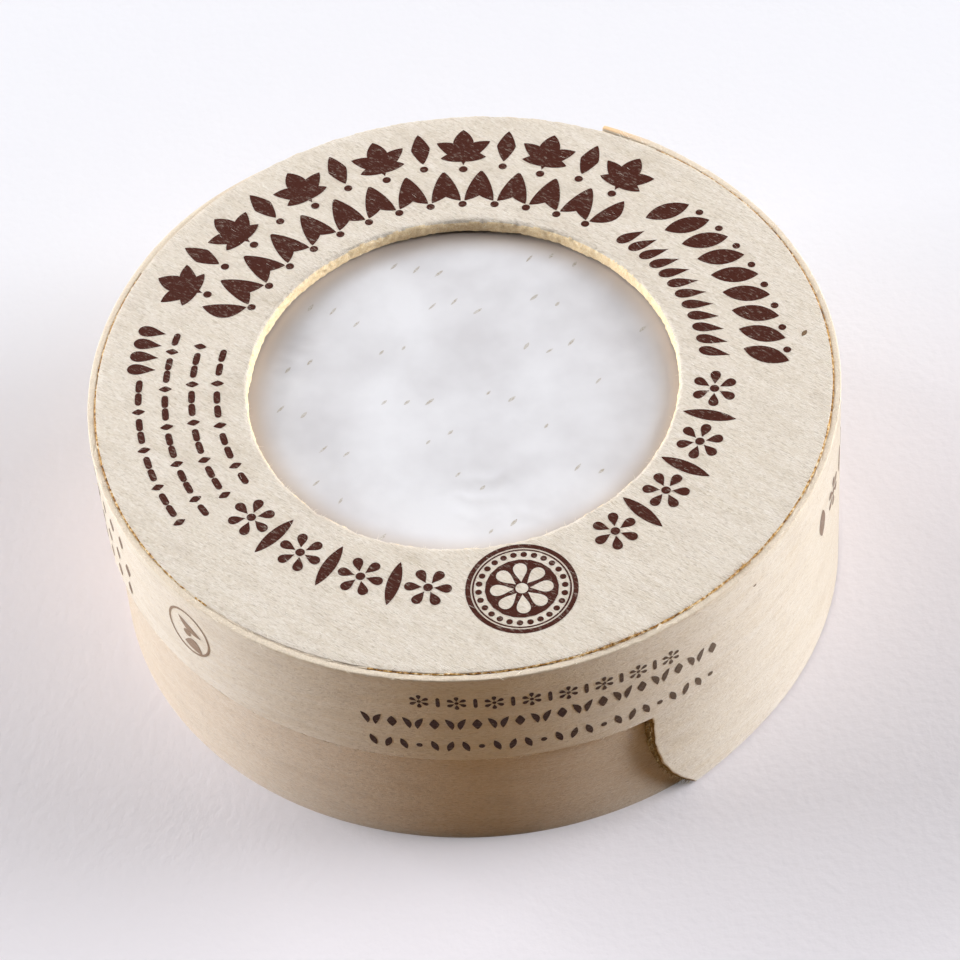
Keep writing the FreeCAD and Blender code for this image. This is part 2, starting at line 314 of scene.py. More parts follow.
def main_materials():
    """All materials but the floor's, by short name."""
    made = {}
    # Rotary-peeled poplar board, bare and dry: cream, with a slightly hairy face.
    board = ("D6C7B6", "CDBCA6", "9C866A", False, 40.0, 0.62, 0.0, 0.28, 0.42, 0.6)
    made["disc"] = poplar("peeled_poplar_board", *board)
    made["disc_ink"] = poplar("stamp_ink_on_board", *board, print_ink=("441E13", 1.0))
    # Sliced poplar veneer, bent: smoother and warmer, its grain running round the box, with
    # a down of fine fibres that whitens it where the light rakes it.
    veneer = {"pale": "DACDBB", "tan": "CFBC9F", "stain": "987A52", "along_uv": True,
              "rough": 0.5, "sheen": 0.6, "fibre": 0.2, "pore": 0.45, "relief": 0.5}
    made["strip"] = poplar("bent_poplar_veneer", **veneer)
    veneer["sheen"] = 0.0
    rubbed = ("3C1E10", 1.0, along_strip(280.0), along_strip(306.0))
    made["strip_ink"] = poplar("stamp_ink_on_veneer", **veneer, print_ink=rubbed)
    # Paler ink for the ornaments at both sides.
    made["side_ink"] = poplar("pale_ink_on_veneer", **veneer, print_ink=("5E4034", 0.8))
    made["faint_ink"] = poplar("faint_ink_on_veneer", **veneer, print_ink=("7A5A4A", 0.72))
    # The base's band is darker and browner than the lid's strip: partly painted shade under the
    # strip's foot.
    veneer.update({"pale": "CDB79C", "tan": "C3A784", "stain": "8E6F4A", "sheen": 0.6})
    made["base"] = poplar("base_poplar_veneer", **veneer)
    made["board"] = poplar("base_poplar_board", "E2D3BE", "D3BFA3", "A58968", False, -15.0)

    # Sawn edges: cream on the strips; round the window paler and warmer, partly painted light;
    # dark brown at the tongue's rough end, partly painted shade beside the tongue.
    made["edge"] = sawn("sawn_veneer_edge", "CCB9A2", "DECCB5", "E8BE8C")
    # The window's edge is paler and warmer than the strips' sawn edges: partly painted light on its
    # wall.
    made["window"] = sawn("sawn_window_edge", "E6C592", "F4DEB8")
    # Partly painted shade: the tongue's torn end is dark brown for the shadow beside it.
    made["cut"] = sawn("torn_tongue_end_painted_shade", "5E4724", "AE9260")

    # Saw dust scorched orange, caught in the joint between board and strip.
    made["dust"] = speckled("scorched_saw_dust", 1600.0, 3.0, 0.9, [
        (0.36, "66401A"), (0.46, "AD7B38"), (0.55, "D6AC6A"), (0.66, "EBDABB")])

    # Loose poplar fibres, nearly white against the light.
    material, tree = new_material("loose_poplar_fibre")
    close(tree, add(tree, "BsdfPrincipled", {"Base Color": colour("F3E8D6"), "Roughness": 0.7}))
    made["fibre"] = material

    # Waxed white cheese paper: cool white, semi-gloss, with soft unevenness. Towards the
    # window's edge it is painted tan-brown, a painted shade where the board overhangs it.
    material, tree = new_material("waxed_cheese_paper")
    places = add(tree, "TexCoord")
    cloudy = add(tree, "TexNoise", {"Vector": places.outputs["Object"], "Scale": 55.0,
                                    "Detail": 4.0, "Roughness": 0.55})
    tint = add(tree, "ValToRGB", {"Fac": cloudy.outputs["Fac"]},
               stops=[(0.36, "C8C2C1"), (0.64, "DAD5D4")])
    flat = add(tree, "Mapping", {"Vector": places.outputs["Object"], "Scale": (1.0, 1.0, 0.0)})
    radius = add(tree, "VectorMath", {0: flat.outputs[0]}, operation="LENGTH")
    # Painted shade: the paper darkens to tan-brown from 27.5 mm out, under the window's edge.
    near = add(tree, "MapRange", {"Value": radius.outputs["Value"], "From Min": 27.5 * MM,
                                  "From Max": 33.0 * MM, "To Max": 0.8},
               interpolation_type="SMOOTHSTEP")
    edge_shade_tint = add(tree, "Mix", {0: near.outputs[0], 6: tint.outputs["Color"],
                                7: colour("B5A190")}, data_type="RGBA")
    fine = add(tree, "TexNoise", {"Vector": places.outputs["Object"], "Scale": 1400.0,
                                  "Detail": 2.0})
    bump = add(tree, "Bump", {"Height": fine.outputs["Fac"], "Strength": 0.12,
                              "Distance": 0.05 * MM})
    dull = add(tree, "MapRange", {"Value": cloudy.outputs["Fac"], "To Min": 0.34,
                                  "To Max": 0.5})
    close(tree, add(tree, "BsdfPrincipled", {
        "Base Color": edge_shade_tint.outputs[2], "Roughness": dull.outputs[0],
        "Normal": bump.outputs[0]}))
    made["paper"] = material

    # Pricks through the paper, as flat grey-brown marks: partly painted shade in the holes.
    made["prick"] = speckled("prick_in_paper", 3500.0, 2.0, 0.6,
                             [(0.35, "A89B8B"), (0.65, "C6BEB6")])

    # A pin knot: a dark brown fleck of bark grown into the wood.
    made["knot"] = speckled("pin_knot", 5000.0, 2.0, 0.7, [(0.35, "4A3220"), (0.65, "8A6B49")])
    return made


# ---------------------------------------------------------------- turned boards and wheel
def section(name, inner, outer, foot, top):
    """An upright plane in edit mode: half of a turned piece's cross-section."""
    bpy.ops.mesh.primitive_plane_add(size=1, location=((inner + outer) / 2, 0, (foot + top) / 2),
                                     rotation=(math.pi / 2, 0, 0))
    piece = call(bpy.context.object, name)
    piece.scale = (outer - inner, top - foot, 1)
    bpy.ops.object.transform_apply(location=True, rotation=True, scale=True)
    mode("EDIT")
    return piece


def round_corner(piece, test, radius, segments):
    """Bevels the corners of the section that pass a test."""
    pick(piece, "VERT", lambda vertex: test(vertex.co))
    bpy.ops.mesh.bevel(affect="VERTICES", offset=radius, segments=segments)


def divide(piece, test, cuts):
    """Cuts the section's edges whose both ends pass a test."""
    pick(piece, "EDGE", lambda edge: all(test(end) for end in edge_ends(piece, edge)))
    bpy.ops.mesh.subdivide(number_cuts=cuts)


def turn(piece, steps):
    """Spins the section's outline once round Z into a closed solid."""
    select_all()
    bpy.ops.mesh.delete(type="ONLY_FACE")
    pick(piece, "EDGE", lambda edge: all(abs(end.x) < 1e-7 for end in edge_ends(piece, edge)))
    bpy.ops.mesh.delete(type="EDGE")
    select_all()
    bpy.ops.mesh.spin(steps=steps, angle=math.tau, center=(0, 0, 0), axis=(0, 0, 1))
    select_all()
    bpy.ops.mesh.remove_doubles(threshold=2e-7)
    bpy.ops.mesh.normals_make_consistent(inside=False)
    mode("OBJECT")


def make_lid_board(looks):
    """The pierced lid board, its window sawn a little raggedly."""
    piece = section("lid_board", WINDOW, DISC_RADIUS, DISC_FOOT, DISC_TOP)
    round_corner(piece, lambda at: at.x < WINDOW + TINY and at.z > DISC_TOP - TINY, 0.85 * MM, 7)
    round_corner(piece, lambda at: at.x > DISC_RADIUS - TINY, 0.07 * MM, 2)
    divide(piece, lambda at: at.z > DISC_TOP - TINY, 22)
    divide(piece, lambda at: at.x < WINDOW + TINY, 9)
    turn(piece, 720)

    def at_window(place):
        return 1.0 - ease(place.xy.length, WINDOW + 0.3 * MM, WINDOW + 0.8 * MM)

    roughen(piece, 0.16, 0.7, at_window)
    roughen(piece, 0.2, 4.0, at_window, 5.0)
    for face in piece.data.polygons:
        face.material_index = int(face.center.xy.length < WINDOW + 0.2 * MM)
    wear(piece, looks["disc"], looks["window"])
    smooth(piece, 50)
    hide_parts("lid_ring")
    return piece


def make_base_board(looks):
    """The bottom board, seen from below inside the base's band."""
    piece = section("base_board", 0.0, BOARD_HIGH.x, BOARD_LOW.z, BOARD_HIGH.z)
    round_corner(piece, lambda at: at.x > BOARD_HIGH.x - TINY, 0.15 * MM, 2)
    divide(piece, lambda at: at.x < BOARD_HIGH.x - 1e-4 or at.x > 1e-4, 6)
    turn(piece, 360)
    wear(piece, looks["board"])
    smooth(piece)
    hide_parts("base_disc")
    return piece


CRUMPLES = [(3, -18, 0), (7, -24, 0), (0, -21, 0), (-24, 9, 0)]


def creases(x, y):
    """Height of the paper's soft dents and creases, in millimetres, x and y too."""
    at = Vector((x, y, 0.0))
    dents = 0.42 * noise.noise(at / 19.0 + Vector((1.3, 4.1, 0.0)))
    drawn = Vector((at.x * 0.76 + at.y * 0.64, (at.y * 0.76 - at.x * 0.64) * 2.1, 0.0))
    folds = 0.1 * (0.5 - abs(noise.noise(drawn / 17.0 + Vector((7.0, 2.0, 0.0)))) * 2.2)
    busy = 0.15 * ease(noise.noise(at / 16.0 + Vector((3.7, 9.2, 0.0))), -0.05, 0.45)
    for centre in CRUMPLES:
        busy = max(busy, 1 - ease((at - Vector(centre)).length, 1.0, 6.0))
    crumple = 0.24 * busy * (0.4 - abs(noise.noise(at / 4.2)) * 2.0)
    return dents + folds + crumple


def make_wrapped_wheel(looks):
    """The wheel in its waxed paper, which is dented and softly creased on top."""
    edge = WHEEL_HIGH.x
    piece = section("wrapped_wheel", 0.0, edge, WHEEL_LOW.z, WHEEL_HIGH.z)
    round_corner(piece, lambda at: at.x > edge - TINY, 6.5 * MM, 8)
    divide(piece, lambda at: at.z > WHEEL_HIGH.z - TINY, 84)
    divide(piece, lambda at: at.z < WHEEL_LOW.z + TINY, 8)
    divide(piece, lambda at: at.x > edge - TINY, 6)
    turn(piece, 360)
    for vertex in piece.data.vertices:
        radius = vertex.co.xy.length
        top = ease(vertex.co.z, 31 * MM, 36 * MM) * (1 - ease(radius, 34 * MM, 50 * MM))
        if top:
            dish = 0.35 * (1 - radius / (48 * MM))
            height = creases(vertex.co.x / MM, vertex.co.y / MM) - dish
            vertex.co.z += top * height * MM
            # Under the board the paper is drawn up against the wood.
            lift = 0.42 * ease(radius, 27 * MM, 33 * MM) * (1 - ease(radius, 47 * MM, 50 * MM))
            lift *= 1 - 0.8 * ease(vertex.co.y, 8 * MM, 28 * MM)
            vertex.co.z = min(vertex.co.z + lift * MM, DISC_FOOT - 0.05 * MM)
    wear(piece, looks["paper"])
    smooth(piece, 60)
    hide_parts("wrapped_cheese")
    return piece


# ---------------------------------------------------------------- bent strips
def angle_at(along):
    """The angle, in degrees, at a place along the lid's flat strip."""
    return INNER_END + math.degrees(along / STRIP_INNER)


def around(along, out, height):
    """Where a point of the lid's flat strip goes when it is bent round the box."""
    degrees = angle_at(along)
    if degrees <= LAP_START:
        return polar(STRIP_INNER + out, degrees, height)
    wide = STRIP_INNER + LAP_RISE
    past = along - math.radians(LAP_START - INNER_END) * STRIP_INNER
    degrees = LAP_START + math.degrees(past / wide)
    return polar(wide + out, degrees, height) - polar(LAP_RISE, LAP_START)


def along_strip(degrees):
    """How far along the flat strip an angle lies."""
    return math.radians(degrees - INNER_END) * STRIP_INNER


STRIP_LENGTH = along_strip(LAP_START) + math.radians(LAP_TURN) * (STRIP_INNER + LAP_RISE)


def strip_foot(along):
    """Lower edge of the narrow stretch: level by the tongue, climbing to the left."""
    place = around(along, 0.0, 0.0)
    tip = STRIP_INNER * math.cos(math.radians(TONGUE_TIP))
    share = (tip - place.x) / (tip + STRIP_INNER + VENEER)
    return SKIRT_FOOT + FOOT_RISE * max(0.0, share)


def strip_top(along):
    """Upper edge: the inner run sinks towards its end under the lap."""
    degrees = angle_at(along)
    return RIM - 1.6 * MM * (1 - ease(degrees, 104.0, 146.0))


def tongue_edge(height):
    """How far along the strip the free tongue begins at a height: an upright, rounded end."""
    corner = 24.0 * MM
    drop = max(0.0, 17.0 * MM - height)
    return along_strip(TONGUE_TIP) + corner - math.sqrt(corner ** 2 - drop ** 2)


def spring(along, height):
    """How far the free tongue stands off the base."""
    free = max(0.0, along_strip(TONGUE_ROOT) - along)
    if along < along_strip(TONGUE_TIP) - TINY or height > SKIRT_FOOT:
        return 0.0
    flat = free ** 2 / 2 * (1 / STRIP_INNER - 1 / TONGUE_BEND)
    return flat * (1 - (height - DEEP_FOOT) / (SKIRT_FOOT - DEEP_FOOT))


def store_flat(piece, rule):
    """Stores a flat layout in metres as the piece's UV map: U along the grain."""
    layers = piece.data.uv_layers
    layer = layers[0] if layers else layers.new(name="flat")
    for loop in piece.data.loops:
        layer.data[loop.index].uv = rule(piece.data.vertices[loop.vertex_index].co)


def flat_grid(name, columns, rows):
    """An upright flat grid from -1 to 1 along X and Z, for a strip before it is bent."""
    bpy.ops.mesh.primitive_grid_add(x_subdivisions=columns, y_subdivisions=rows, size=2,
                                    rotation=(math.pi / 2, 0, 0))
    piece = call(bpy.context.object, name)
    bpy.ops.object.transform_apply(location=True, rotation=True, scale=True)
    return piece


def make_lid_strip(looks):
    """The lid's bent strip: narrow skirt, free tongue, deep stretch and lap, in one length."""
    tip, root = along_strip(TONGUE_TIP), along_strip(TONGUE_ROOT)
    narrow, free, deep = 496, 48, 168
    low, high = 18, 16
    columns, rows = narrow + free + deep, low + high
    piece = flat_grid("lid_strip", columns, rows)
    places = []
    for vertex in piece.data.vertices:
        column = round((vertex.co.x + 1) / 2 * columns)
        row = round((vertex.co.z + 1) / 2 * rows)
        places.append((column, row))
        if column <= narrow:
            along = tip * column / narrow
        elif column <= narrow + free:
            along = tip + (root - tip) * (column - narrow) / free
        else:
            along = root + (STRIP_LENGTH - root) * (column - narrow - free) / deep
        if row >= low:
            foot = strip_foot(along) if column <= narrow else SKIRT_FOOT
            height = foot + (strip_top(along) - foot) * (row - low) / high
        else:
            height = DEEP_FOOT + (SKIRT_FOOT - DEEP_FOOT) * row / low
            if column >= narrow and column < narrow + free:
                start = tongue_edge(height)
                along = start + (root - start) * (column - narrow) / free
        vertex.co = Vector((along, 0.0, height))
    mode("EDIT")
    pick(piece, "FACE", lambda face: all(places[index][0] <= narrow for index in face.vertices)
         and any(places[index][1] < low for index in face.vertices))
    bpy.ops.mesh.delete(type="FACE")
    mode("OBJECT")
    finish_with(piece, "SOLIDIFY", thickness=VENEER, offset=1.0)
    finish_with(piece, "BEVEL", width=0.2 * MM, segments=3, limit_method="ANGLE",
                angle_limit=math.radians(60))
    store_flat(piece, lambda flat: (flat.x, flat.z + flat.y))
    lows = min(vertex.co.y for vertex in piece.data.vertices)
    for vertex in piece.data.vertices:
        along, out, height = vertex.co.x, vertex.co.y - lows, vertex.co.z
        room = 1.0
        if along < along_strip(80.0):
            over = around(along + math.tau * STRIP_INNER, 0.0, 0.0).xy.length - STRIP_INNER
            degrees = angle_at(along)
            if degrees < 64.0:
                room = min(1.0, max(0.15, (over - 0.03 * MM) / VENEER))
        # The lap's end is pared thin, and the tongue's is torn off on a slant.
        room *= 1 - 0.3 * ease(along, STRIP_LENGTH - 10 * MM, STRIP_LENGTH)
        if height < SKIRT_FOOT - 0.2 * MM and along < tongue_edge(height) + 0.3 * MM:
            along -= 0.85 * MM * (1 - out / VENEER)
            along += 0.22 * MM * noise.noise(Vector((height / (0.9 * MM), out / MM, 7.0)))
        edge = max(ease(height, RIM - 0.6 * MM, RIM), 1 - ease(height, 0.4 * MM, 1.2 * MM))
        fuzz = 0.12 * MM * edge * noise.noise(Vector((along / (1.1 * MM), out / MM, 3.0)))
        sway = 0.12 * MM * noise.noise(Vector((along / (24 * MM), height / (30 * MM), 1.0)))
        vertex.co = around(along, out * room + spring(along, height), height + fuzz + sway * (
            0 if height < 2 * MM else 1) * ease(height, 2 * MM, 8 * MM))
    for face in piece.data.polygons:
        flat = abs(face.normal.dot(Vector((face.center.x, face.center.y, 0)).normalized()))
        if flat < 0.9:
            # The torn tongue end takes the dark brown that partly paints the shade beside it.
            torn = abs(face.normal.z) < 0.6 and flat < 0.75 and face.center.z < SKIRT_FOOT
            face.material_index = 2 if torn else 1
    wear(piece, looks["strip"], looks["edge"], looks["cut"])
    smooth(piece, 45)
    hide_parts("lid_band")
    return piece


def make_base_strip(looks):
    """The standing band of the base, a little flared at its foot."""
    piece = flat_grid("base_strip", 540, 20)
    length = math.tau * BASE_INNER
    for vertex in piece.data.vertices:
        vertex.co.x = (vertex.co.x + 1) / 2 * length
        vertex.co.z = BASE_LOW.z + (vertex.co.z + 1) / 2 * (BASE_HIGH.z - BASE_LOW.z)
    finish_with(piece, "SOLIDIFY", thickness=VENEER, offset=1.0, use_rim=True)
    store_flat(piece, lambda flat: (flat.x, flat.z + flat.y))
    lows = min(vertex.co.y for vertex in piece.data.vertices)
    for vertex in piece.data.vertices:
        along, out, height = vertex.co.x, vertex.co.y - lows, vertex.co.z
        flare = 0.4 * MM * (1 - ease(height, 0.0, 22 * MM))
        vertex.co = polar(BASE_INNER + out + flare, math.degrees(along / BASE_INNER), height)
    only(piece)
    mode("EDIT")
    select_all()
    bpy.ops.mesh.remove_doubles(threshold=TINY)
    mode("OBJECT")
    for face in piece.data.polygons:
        face.material_index = int(abs(face.normal.z) > 0.7)
    wear(piece, looks["base"], looks["edge"])
    smooth(piece, 45)
    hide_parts("base_band")
    return piece


# ---------------------------------------------------------------- printed ornaments
INK_DEPTH = 0.008 * MM               # thickness of a printed film
INK_ON_BOARD = 0.012                 # mm: how far it stands off the lid board
INK_ON_STRIP = 0.03 * MM             # and off the strip
COPIES = []                          # names of the printed copies made so far


def disc_shape(name, corners=28):
    """A flat filled circle one unit across, lying in XY, as the start of a printed shape."""
    bpy.ops.mesh.primitive_circle_add(vertices=corners, radius=0.5, fill_type="NGON")
    return call(bpy.context.object, name)


def reshape(piece, rule):
    """Gives every vertex of a flat shape a new place."""
    for vertex in piece.data.vertices:
        vertex.co.x, vertex.co.y = rule(vertex.co.x, vertex.co.y)
    return piece


def leaf(width, sway=0.0, name="leaf"):
    """A pointed leaf one unit tall that leans by sway."""
    def rule(x, y):
        share = 1 - (2 * y) ** 2
        side = math.copysign(1.0, x) if abs(x) > TINY else 0.0
        return side * width / 2 * max(0.0, share) ** 0.9 + sway * (y * y * 4 - 1) / 2, y
    return reshape(disc_shape(name), rule)


def drop(width, name="drop"):
    """A rounded drop one unit tall, its point upwards."""
    return reshape(disc_shape(name), lambda x, y: (x * width * (1 - 0.92 * (y + 0.5) ** 1.4), y))


def lozenge(width, name="lozenge"):
    """A diamond with hollow sides."""
    def rule(x, y):
        angle = math.atan2(y, x)
        c, n = math.cos(angle), math.sin(angle)
        return (math.copysign(abs(c) ** 1.6, c) * width / 2, math.copysign(abs(n) ** 1.6, n) / 2)
    return reshape(disc_shape(name, 24), rule)


def hoop(width, name="hoop"):
    """A plain ring one unit across."""
    piece = disc_shape(name, 72)
    mode("EDIT")
    select_all()
    bpy.ops.mesh.inset(thickness=width)
    bpy.ops.mesh.delete(type="FACE")
    mode("OBJECT")
    return piece


def bar(name="bar"):
    """A short rule with rounded ends, one unit long and upright."""
    return reshape(disc_shape(name, 16), lambda x, y: (x, y * 0.5 + math.copysign(0.25, y)
                                                       if abs(y) > TINY else 0.0))


def copied(shape, scale, turn_degrees, x, y):
    """A copy of a flat shape with its own mesh, sized, turned and moved within the flat.

    Each copy lies a few microns above or below the last, so that none share a plane.
    """
    piece = shape.copy()
    piece.data = shape.data.copy()
    bpy.context.collection.objects.link(piece)
    wide, tall = scale if isinstance(scale, tuple) else (scale, scale)
    turned = Matrix.Rotation(math.radians(turn_degrees), 4, "Z")
    sized = Matrix.Diagonal((wide, tall, 1.0, 1.0))
    COPIES.append(piece.name)
    layer = len(COPIES) % 11 * 0.0015 * MM
    piece.data.transform(Matrix.Translation((x, y, layer)) @ turned @ sized)
    if wide * tall < 0:
        piece.data.flip_normals()
    return piece


def joined(parts, name):
    """Joins objects into one, with no material yet."""
    bpy.ops.object.select_all(action="DESELECT")
    for part in parts:
        part.select_set(True)
    bpy.context.view_layer.objects.active = parts[0]
    bpy.ops.object.join()
    piece = call(bpy.context.object, name)
    piece.data.materials.clear()
    return piece


def sprig(leaves, name="sprig"):
    """A spray: one upright leaf between two or four that lean out, over a bead."""
    stem = [copied(leaves["leaf"], (0.9, 0.72), 0, 0.0, 0.12)]
    for side in (-1, 1):
        stem.append(copied(leaves["curved"], (side * 0.8, 0.62), -side * 42, side * 0.27, -0.06))
        stem.append(copied(leaves["curved"], (side * 0.6, 0.42), -side * 78, side * 0.2, -0.26))
    stem.append(copied(leaves["drop"], (0.3, 0.36), 180, 0.0, -0.22))
    stem.append(copied(leaves["bead"], 0.15, 0, 0.0, -0.5))
    return joined(stem, name)


def flower(leaves, petals, name="flower"):
    """Petals round a bead."""
    parts = [copied(leaves["bead"], 0.2, 0, 0.0, 0.0)]
    for number in range(petals):
        degrees = 360 / petals * number
        at = polar(0.31, degrees + 90)
        parts.append(copied(leaves["drop"], (0.36, 0.37), degrees + 180, at.x, at.y))
    return joined(parts, name)


def on_board(shape, height, radius, degrees, lean=0.0, wide=1.0):
    """A printed copy on the lid board, its top outwards; sizes in millimetres."""
    spot = polar(radius, degrees)
    return copied(shape, (height * wide, height), degrees - 90 + lean, spot.x, spot.y)


def laid_on_board(parts, name, look, above=0.0):
    """Joins copies, in millimetres, and lays them a hair above the lid board."""
    piece = joined(parts, name)
    piece.data.transform(Matrix.Translation((0, 0, DISC_TOP + (INK_ON_BOARD + above) * MM))
                         @ Matrix.Diagonal((MM, MM, 1.0, 1.0)))
    wear(piece, look)
    finish_with(piece, "SOLIDIFY", thickness=INK_DEPTH, offset=1.0)
    return piece


def on_strip(shape, scale, lean, degrees, height):
    """A printed copy on the flat strip at an angle and a height; sizes in millimetres."""
    return copied(shape, scale, lean, along_strip(degrees % 360.0) / MM, height)


def laid_on_strip(parts, name, look):
    """Bends copies laid out in flat millimetres (degrees turned to length) round the strip."""
    piece = joined(parts, name)
    only(piece)
    mode("EDIT")
    select_all()
    bpy.ops.mesh.quads_convert_to_tris()
    mode("OBJECT")
    store_flat(piece, lambda flat: (flat.x * MM, flat.y * MM))
    for vertex in piece.data.vertices:
        along, height = vertex.co.x * MM, vertex.co.y * MM
        out = VENEER + spring(along, height) + INK_ON_STRIP + vertex.co.z
        vertex.co = around(along, out, height)
    wear(piece, look)
    finish_with(piece, "SOLIDIFY", thickness=INK_DEPTH, offset=-1.0)
    return piece


def shapes():
    """The printer's stock of shapes, each modelled once."""
    stock = {"leaf": leaf(0.42), "curved": leaf(0.36, 0.22, "curved_leaf"), "drop": drop(0.8),
             "bead": disc_shape("bead", 20), "lozenge": lozenge(0.6), "bar": bar(),
             "hoop": hoop(0.045), "fine_hoop": hoop(0.018, "fine_hoop")}
    stock["sprig"] = sprig(stock)
    stock["flower"] = flower(stock, 6)
    stock["rosette"] = flower(stock, 8, "rosette")
    return stock


def steps(first, last, count):
    return [first + (last - first) * number / (count - 1) for number in range(count)]


def make_board_print(stock, looks):
    """Garlands, rules and a medallion stamped on the lid board."""
    parts = []
    # Widest garland, across the back: sprays between tall lozenges.
    for number, degrees in enumerate(steps(150.0, 54.0, 13)):
        if number % 2 == 0:
            parts.append(on_board(stock["sprig"], 8.8, 47.9, degrees))
        else:
            parts.append(on_board(stock["lozenge"], 6.6, 48.6, degrees, 0.0, 0.75))
            parts.append(on_board(stock["bead"], 1.3, 44.2, degrees))
    # Under it, leaves in pairs along a row of beads.
    for number, degrees in enumerate(steps(149.5, 54.5, 13)):
        parts.append(on_board(stock["curved"], 6.8, 39.9, degrees + 2.3, 20.0, 1.15))
        parts.append(on_board(stock["curved"], 6.8, 39.9, degrees - 2.3, -20.0, -1.15))
        parts.append(on_board(stock["bead"], 1.3, 36.0, degrees))
    # Fine rules on the left, broken by beads, with a heavier head.
    for degrees in steps(162.0, 171.0, 4):
        parts.append(on_board(stock["drop"], 4.4, 48.6, degrees, 180.0, 0.8))
    for row, (radius, first, last, count) in enumerate([
            (48.6, 175.0, 208.0, 12), (44.6, 163.0, 208.0, 15), (40.6, 164.0, 207.0, 13),
            (36.8, 166.0, 205.0, 10)]):
        for number, degrees in enumerate(steps(first, last, count)):
            if (number + row) % 3 == 2:
                parts.append(on_board(stock["lozenge"], 2.0, radius, degrees))
            else:
                parts.append(on_board(stock["bar"], 2.5, radius, degrees, 90.0, 0.42))
    # Slanting leaves on the right, in two rows.
    for number, degrees in enumerate(steps(42.0, -1.0, 9)):
        parts.append(on_board(stock["leaf"], 7.2, 45.4, degrees, -26.0, 1.05))
        if number < 8:
            parts.append(on_board(stock["bead"], 1.2, 48.6, degrees - 4.6))
    for degrees in steps(43.0, 1.0, 12):
        parts.append(on_board(stock["drop"], 4.8, 37.8, degrees, -22.0, 0.62))
    # Flowers and lozenges at the front, left and right of the medallion.
    for first, last, radius in ((-144.5, -101.0, 39.8), (-58.0, -10.0, 37.6)):
        for number, degrees in enumerate(steps(first, last, 7)):
            if number % 2 == 0:
                parts.append(on_board(stock["flower"], 7.0, radius, degrees, 30.0))
            else:
                parts.append(on_board(stock["leaf"], 8.0, radius, degrees, 0.0, 0.6))
    # The medallion: a solid disc, left bare in the shape of a flower, between hoops.
    centre = polar(41.2, -82.0)
    parts.append(copied(stock["hoop"], 16.2, 0, centre.x, centre.y))
    parts.append(copied(stock["fine_hoop"], 14.3, 0, centre.x, centre.y))
    for number in range(26):
        at = centre + polar(6.2, 360 / 26 * number)
        parts.append(copied(stock["bead"], 0.95, 0, at.x, at.y))
    parts.append(copied(stock["bead"], 10.6, 0, centre.x, centre.y))
    bare = [copied(stock["rosette"], 9.2, 0, centre.x, centre.y)]
    return [laid_on_board(parts, "board_print", looks["disc_ink"]),
            laid_on_board(bare, "medallion_flower", looks["disc"], 0.02)]


def make_strip_print(stock, looks):
    """Three rows of small ornaments on the front of the strip, and more at the sides."""
    parts = []
    for number, degrees in enumerate(steps(-100.5, -62.5, 15)):
        shape, scale = ("bar", (0.6, 2.2)) if number % 2 else ("flower", 3.0)
        parts.append(on_strip(stock[shape], scale, 0, degrees, 34.9 - 0.06 * (degrees + 100)))
    for number, degrees in enumerate(steps(-109.0, -55.0, 27)):
        height = 29.7 - 0.012 * (degrees + 109)
        if number % 3 == 2:
            parts.append(on_strip(stock["lozenge"], 2.4, 0, degrees, height))
        else:
            side = 1 if number % 3 else -1
            parts.append(on_strip(stock["curved"], (side * 2.6, 2.7), -side * 20, degrees, height))
    for number, degrees in enumerate(steps(-108.0, -55.5, 24)):
        height = 24.6 - 0.025 * (degrees + 108)
        if number % 4 == 3:
            parts.append(on_strip(stock["bead"], 0.9, 0, degrees, height))
        else:
            parts.append(on_strip(stock["leaf"], (2.3, 2.5), 18 - 36 * (number % 2), degrees, height))
    return laid_on_strip(parts, "strip_print", looks["strip_ink"])


def make_side_prints(stock, looks):
    """Paler ornaments at both sides, and a small faint round stamp at the front left."""
    parts = []
    for height, first, last, count in ((34.5, -192.0, -158.0, 10), (29.0, -196.0, -157.0, 11),
                                       (24.4, -194.0, -157.5, 10)):
        for number, degrees in enumerate(steps(first, last, count)):
            shape = stock["leaf" if number % 2 else "lozenge"]
            parts.append(on_strip(shape, 2.9, 0, degrees, height))
    for number, degrees in enumerate(steps(-25.0, 27.0, 9)):
        parts.append(on_strip(stock["flower" if number % 2 else "leaf"], 6.0, 0, degrees, 27.5))
    sides = laid_on_strip(parts, "side_prints", looks["side_ink"])
    x, y = along_strip(-139.6 % 360.0) / MM, 31.6
    parts = [copied(stock["hoop"], (8.6, 9.4), 0, x, y),
             copied(stock["curved"], (4.2, 5.0), 62, x + 0.4, y + 1.4),
             copied(stock["curved"], (-7.0, 3.6), 80, x + 0.6, y - 3.2),
             copied(stock["bead"], 1.5, 0, x - 0.3, y - 0.4)]
    stamp = laid_on_strip(parts, "faint_stamp", looks["faint_ink"])
    return [sides, stamp]


